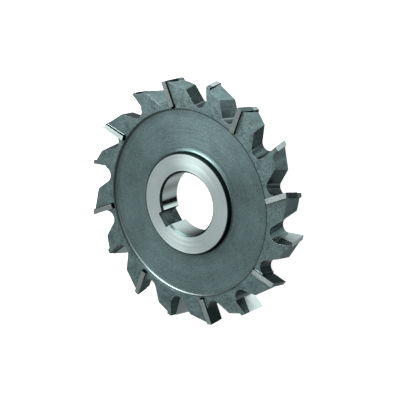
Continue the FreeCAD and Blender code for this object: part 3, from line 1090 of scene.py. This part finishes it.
@dataclass(frozen=True)
class BrazeBeads:
    """Bright braze that has run out along the foot of each tip."""

    lattice: ToothLattice
    sides: int = 12
    smooth_deg: float = 50.0
    rods: tuple[Rod, ...] = (
        Rod((-12.9, -2.62, 5.6), (-1.5, -2.62, 5.6), 0.27),
        Rod((-13.2, 0.14, 5.55), (-8.6, 0.14, 5.55), 0.24),
        Rod((-8.6, 0.14, 5.5), (-8.6, 0.14, 0.45), 0.22),
    )

    def build(self) -> list[bpy.types.Object]:
        """Make and dress the beads of every tooth.

        Returns:
            The finished pieces.
        """
        finish = BRAZE_FINISH.build()
        pieces = []
        for hand in Hand:
            model = self._beads(f"braze_{hand.name.lower()}_01", self.lattice.tooth(hand, 1))
            model.data.materials.append(finish)
            pieces.append(model)
            for number in range(2, self.lattice.per_hand + 1):
                pieces.append(self._turned(model, hand, number))
        for piece in pieces:
            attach(piece, ROOT_BODY)
        return pieces

    def _beads(self, name: str, tooth: int) -> bpy.types.Object:
        """Model the beads of one tooth.

        Args:
            name: Name of the piece.
            tooth: Number of the tooth.

        Returns:
            The piece, at the origin.
        """
        side = self.lattice.hand(tooth).value
        made = []
        for rod in self.rods:
            start, end = (
                self.lattice.point(along, ahead, self.lattice.middle_mm + side * height, tooth) * MM
                for along, ahead, height in (rod.start, rod.end)
            )
            way = end - start
            bpy.ops.object.select_all(action="DESELECT")
            bpy.ops.mesh.primitive_cylinder_add(
                vertices=self.sides,
                radius=rod.radius_mm * MM,
                depth=way.length,
                location=(start + end) / 2.0,
                rotation=way.to_track_quat("Z", "Y").to_euler(),
            )
            made.append(bpy.context.object)
        bpy.ops.object.select_all(action="DESELECT")
        for part in made:
            part.select_set(True)
        bpy.context.view_layer.objects.active = made[0]
        bpy.ops.object.join()
        piece = bpy.context.object
        piece.name = piece.data.name = name
        bpy.ops.object.transform_apply(location=True, rotation=True, scale=True)
        bpy.ops.object.shade_smooth_by_angle(angle=math.radians(self.smooth_deg))
        return piece

    def _turned(self, model: bpy.types.Object, hand: Hand, number: int) -> bpy.types.Object:
        """Copy the beads to another tooth of the same hand.

        Args:
            model: Beads of the hand's first tooth.
            hand: Side that the tooth cuts on.
            number: Number of the tooth among those of its hand.

        Returns:
            The copy, at the origin.
        """
        name = f"braze_{hand.name.lower()}_{number:02d}"
        piece = bpy.data.objects.new(name, model.data.copy())
        piece.data.name = name
        bpy.context.scene.collection.objects.link(piece)
        piece.rotation_euler.z = math.radians(2.0 * self.lattice.pitch_deg * (number - 1))
        only(piece)
        bpy.ops.object.transform_apply(location=True, rotation=True, scale=True)
        return piece


@dataclass(frozen=True)
class SoftBox:
    """A large soft lamp that looks at the cutter."""

    name: str
    azimuth_deg: float
    elevation_deg: float
    distance: float
    size: tuple[float, float]
    power: float

    def build(self) -> bpy.types.Object:
        """Add the lamp and give back its object."""
        data = bpy.data.lights.new(self.name, "AREA")
        data.shape = "RECTANGLE"
        data.size, data.size_y = self.size
        data.energy = self.power
        lamp = bpy.data.objects.new(self.name, data)
        turn, rise = math.radians(self.azimuth_deg), math.radians(self.elevation_deg)
        reach = math.cos(rise)
        way = Vector((math.cos(turn) * reach, math.sin(turn) * reach, math.sin(rise)))
        lamp.location = way * self.distance
        lamp.rotation_euler = way.to_track_quat("Z", "Y").to_euler()
        lamp.visible_camera = False
        bpy.context.scene.collection.objects.link(lamp)
        return lamp


@dataclass(frozen=True)
class SkyPanel:
    """A soft patch or upright strip of light far away in the room.

    A larger tightness makes the patch smaller, and narrowness above 0 cuts it to a strip.
    """

    direction: tuple[float, float, float]
    strength: float
    tightness: float = 7.0
    narrowness: float = 0.0

    def level(self, graph: NodeGraph, way: Socket) -> Socket:
        """Add the nodes that give the patch's brightness.

        Args:
            graph: Graph of the room.
            way: Direction that is looked in.

        Returns:
            The brightness in that direction.
        """
        centre = Vector(self.direction).normalized()
        near = self._dot(graph, way, centre)
        fall = graph.math("MULTIPLY_ADD", near, self.tightness, -self.tightness)
        if self.narrowness:
            up = Vector((0.0, 0.0, 1.0))
            aside = self._dot(graph, way, centre.cross(up).normalized())
            square = graph.math("MULTIPLY", aside, aside)
            drop = graph.math("MULTIPLY", graph.math("MULTIPLY", square, square), self.narrowness)
            fall = graph.math("SUBTRACT", fall, drop)
        return graph.math("MULTIPLY", graph.math("EXPONENT", fall), self.strength)

    @staticmethod
    def _dot(graph: NodeGraph, way: Socket, axis: Vector) -> Socket:
        """Add a dot product with a fixed direction."""
        node = graph.add("VectorMath", operation="DOT_PRODUCT")
        graph.feed(node.inputs[0], way)
        node.inputs[1].default_value = axis
        return node.outputs["Value"]


@dataclass(frozen=True)
class Studio:
    """Pale floor, soft light from panels and lamps, and the camera."""

    floor_span: float = 8.0
    floor_drop: float = 0.0001
    floor_tone: float = 0.85
    floor_roughness: float = 0.9
    floor_glow: float = 0.8
    camera_place: tuple[float, float, float] = (-0.139312, -0.680189, 0.838920)
    camera_turn_deg: tuple[float, float, float] = (-15.30274, 37.09502, -125.95045)
    camera_lens_mm: float = 193.88
    camera_sensor_mm: float = 36.0
    camera_range: tuple[float, float] = (0.05, 20.0)
    # The way to each patch and its strength, and tightness and narrowness where they matter.
    panels: tuple[SkyPanel, ...] = (
        SkyPanel((0.97, -0.21, 0.10), 3.9),
        SkyPanel((-0.13, -0.99, -0.03), 2.9),
        SkyPanel((0.69, -0.69, -0.23), 2.8),
        SkyPanel((0.40, -0.86, 0.30), 1.3),
        SkyPanel((-0.32, 0.29, 0.90), 1.3),
        SkyPanel((-0.57, 0.82, 0.03), 0.6),
        SkyPanel((0.65, -0.42, 0.63), 1.1),
        SkyPanel((0.29, 0.93, 0.23), 0.4),
        SkyPanel((-0.04, 0.95, -0.30), 0.3),
        SkyPanel((0.89, 0.12, -0.43), 0.42),
        SkyPanel((-0.85, -0.49, 0.17), 0.35),
        SkyPanel((-0.71, 0.49, -0.50), 0.25),
        SkyPanel((-0.42, 0.48, -0.77), 0.4, 14.0),
        SkyPanel((-0.59, -0.24, -0.77), 0.4, 30.0),
        SkyPanel((-0.24, -0.59, -0.77), 0.85, 60.0, 10000.0),
    )
    # The flag takes light away, which leaves the dark band on the wall of the bore.
    flag: SkyPanel = SkyPanel((-0.43, -0.47, -0.77), 1.4, 20.0, 8000.0)
    lamps: tuple[SoftBox, ...] = (
        SoftBox("key_lamp", -22.0, 27.0, 0.62, (0.44, 0.16), 4.0),
        SoftBox("near_lamp", -8.0, 50.0, 0.19, (0.16, 0.12), 0.21),
    )

    def build(self) -> None:
        """Set up everything around the cutter."""
        bpy.context.scene.view_settings.view_transform = "Standard"
        self._floor()
        self._room()
        for lamp in self.lamps:
            lamp.build()
        self._camera()

    def _floor(self) -> None:
        """Lay the floor, kept out of the metal's reflections and clear when seen from below."""
        bpy.ops.object.select_all(action="DESELECT")
        place = (0.0, 0.0, -self.floor_drop)
        bpy.ops.mesh.primitive_plane_add(size=self.floor_span, location=place)
        floor = bpy.context.object
        floor.name = "floor"
        floor.visible_glossy = False
        material = bpy.data.materials.new("pale_floor")
        material.use_nodes = True
        shader = material.node_tree.nodes["Principled BSDF"]
        shader.inputs["Base Color"].default_value = (self.floor_tone,) * 3 + (1.0,)
        shader.inputs["Roughness"].default_value = self.floor_roughness
        shader.inputs["Emission Color"].default_value = WHITE
        shader.inputs["Emission Strength"].default_value = self.floor_glow
        graph = NodeGraph(material.node_tree)
        one_sided = graph.add("MixShader")
        graph.feed(one_sided.inputs[0], graph.add("NewGeometry").outputs["Backfacing"])
        graph.feed(one_sided.inputs[1], shader.outputs[0])
        graph.feed(one_sided.inputs[2], graph.add("BsdfTransparent").outputs[0])
        graph.feed(material.node_tree.nodes["Material Output"].inputs[0], one_sided.outputs[0])
        floor.data.materials.append(material)

    def _room(self) -> None:
        """Light the room with its soft panels, behind a plain pale backdrop."""
        world = bpy.data.worlds.new("studio")
        world.use_nodes = True
        graph = NodeGraph(world.node_tree)
        way = graph.add("TexCoord").outputs["Generated"]
        total = self.panels[0].level(graph, way)
        for panel in self.panels[1:]:
            total = graph.math("ADD", total, panel.level(graph, way))
        shade = graph.math("SUBTRACT", 1.0, self.flag.level(graph, way), clamp=True)
        total = graph.math("MULTIPLY", total, shade)
        seen = graph.add("LightPath").outputs["Is Camera Ray"]
        kept = graph.math("SUBTRACT", 1.0, seen)
        total = graph.math("ADD", graph.math("MULTIPLY", total, kept), seen)
        background = world.node_tree.nodes["Background"]
        background.inputs["Color"].default_value = WHITE
        graph.feed(background.inputs["Strength"], total)
        bpy.context.scene.world = world

    def _camera(self) -> None:
        """Place the camera at the photograph's viewing angle."""
        data = bpy.data.cameras.new("camera")
        data.sensor_width = self.camera_sensor_mm
        data.lens = self.camera_lens_mm
        data.clip_start, data.clip_end = self.camera_range
        camera = bpy.data.objects.new("camera", data)
        camera.location = self.camera_place
        camera.rotation_euler = Euler([math.radians(turn) for turn in self.camera_turn_deg])
        bpy.context.scene.collection.objects.link(camera)
        bpy.context.scene.camera = camera


def main() -> None:
    """Build the studio and the cutter."""
    logging.basicConfig(level=logging.INFO, format="%(name)s: %(message)s")
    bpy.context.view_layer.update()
    Studio().build()
    lattice = ToothLattice()
    disc = SteelDisc(lattice).build()
    for piece in [disc, *CarbideTips(lattice).build(), *BrazeBeads(lattice).build()]:
        log.info("%s: %d faces", piece.name, len(piece.data.polygons))


if __name__ == "__main__":
    main()
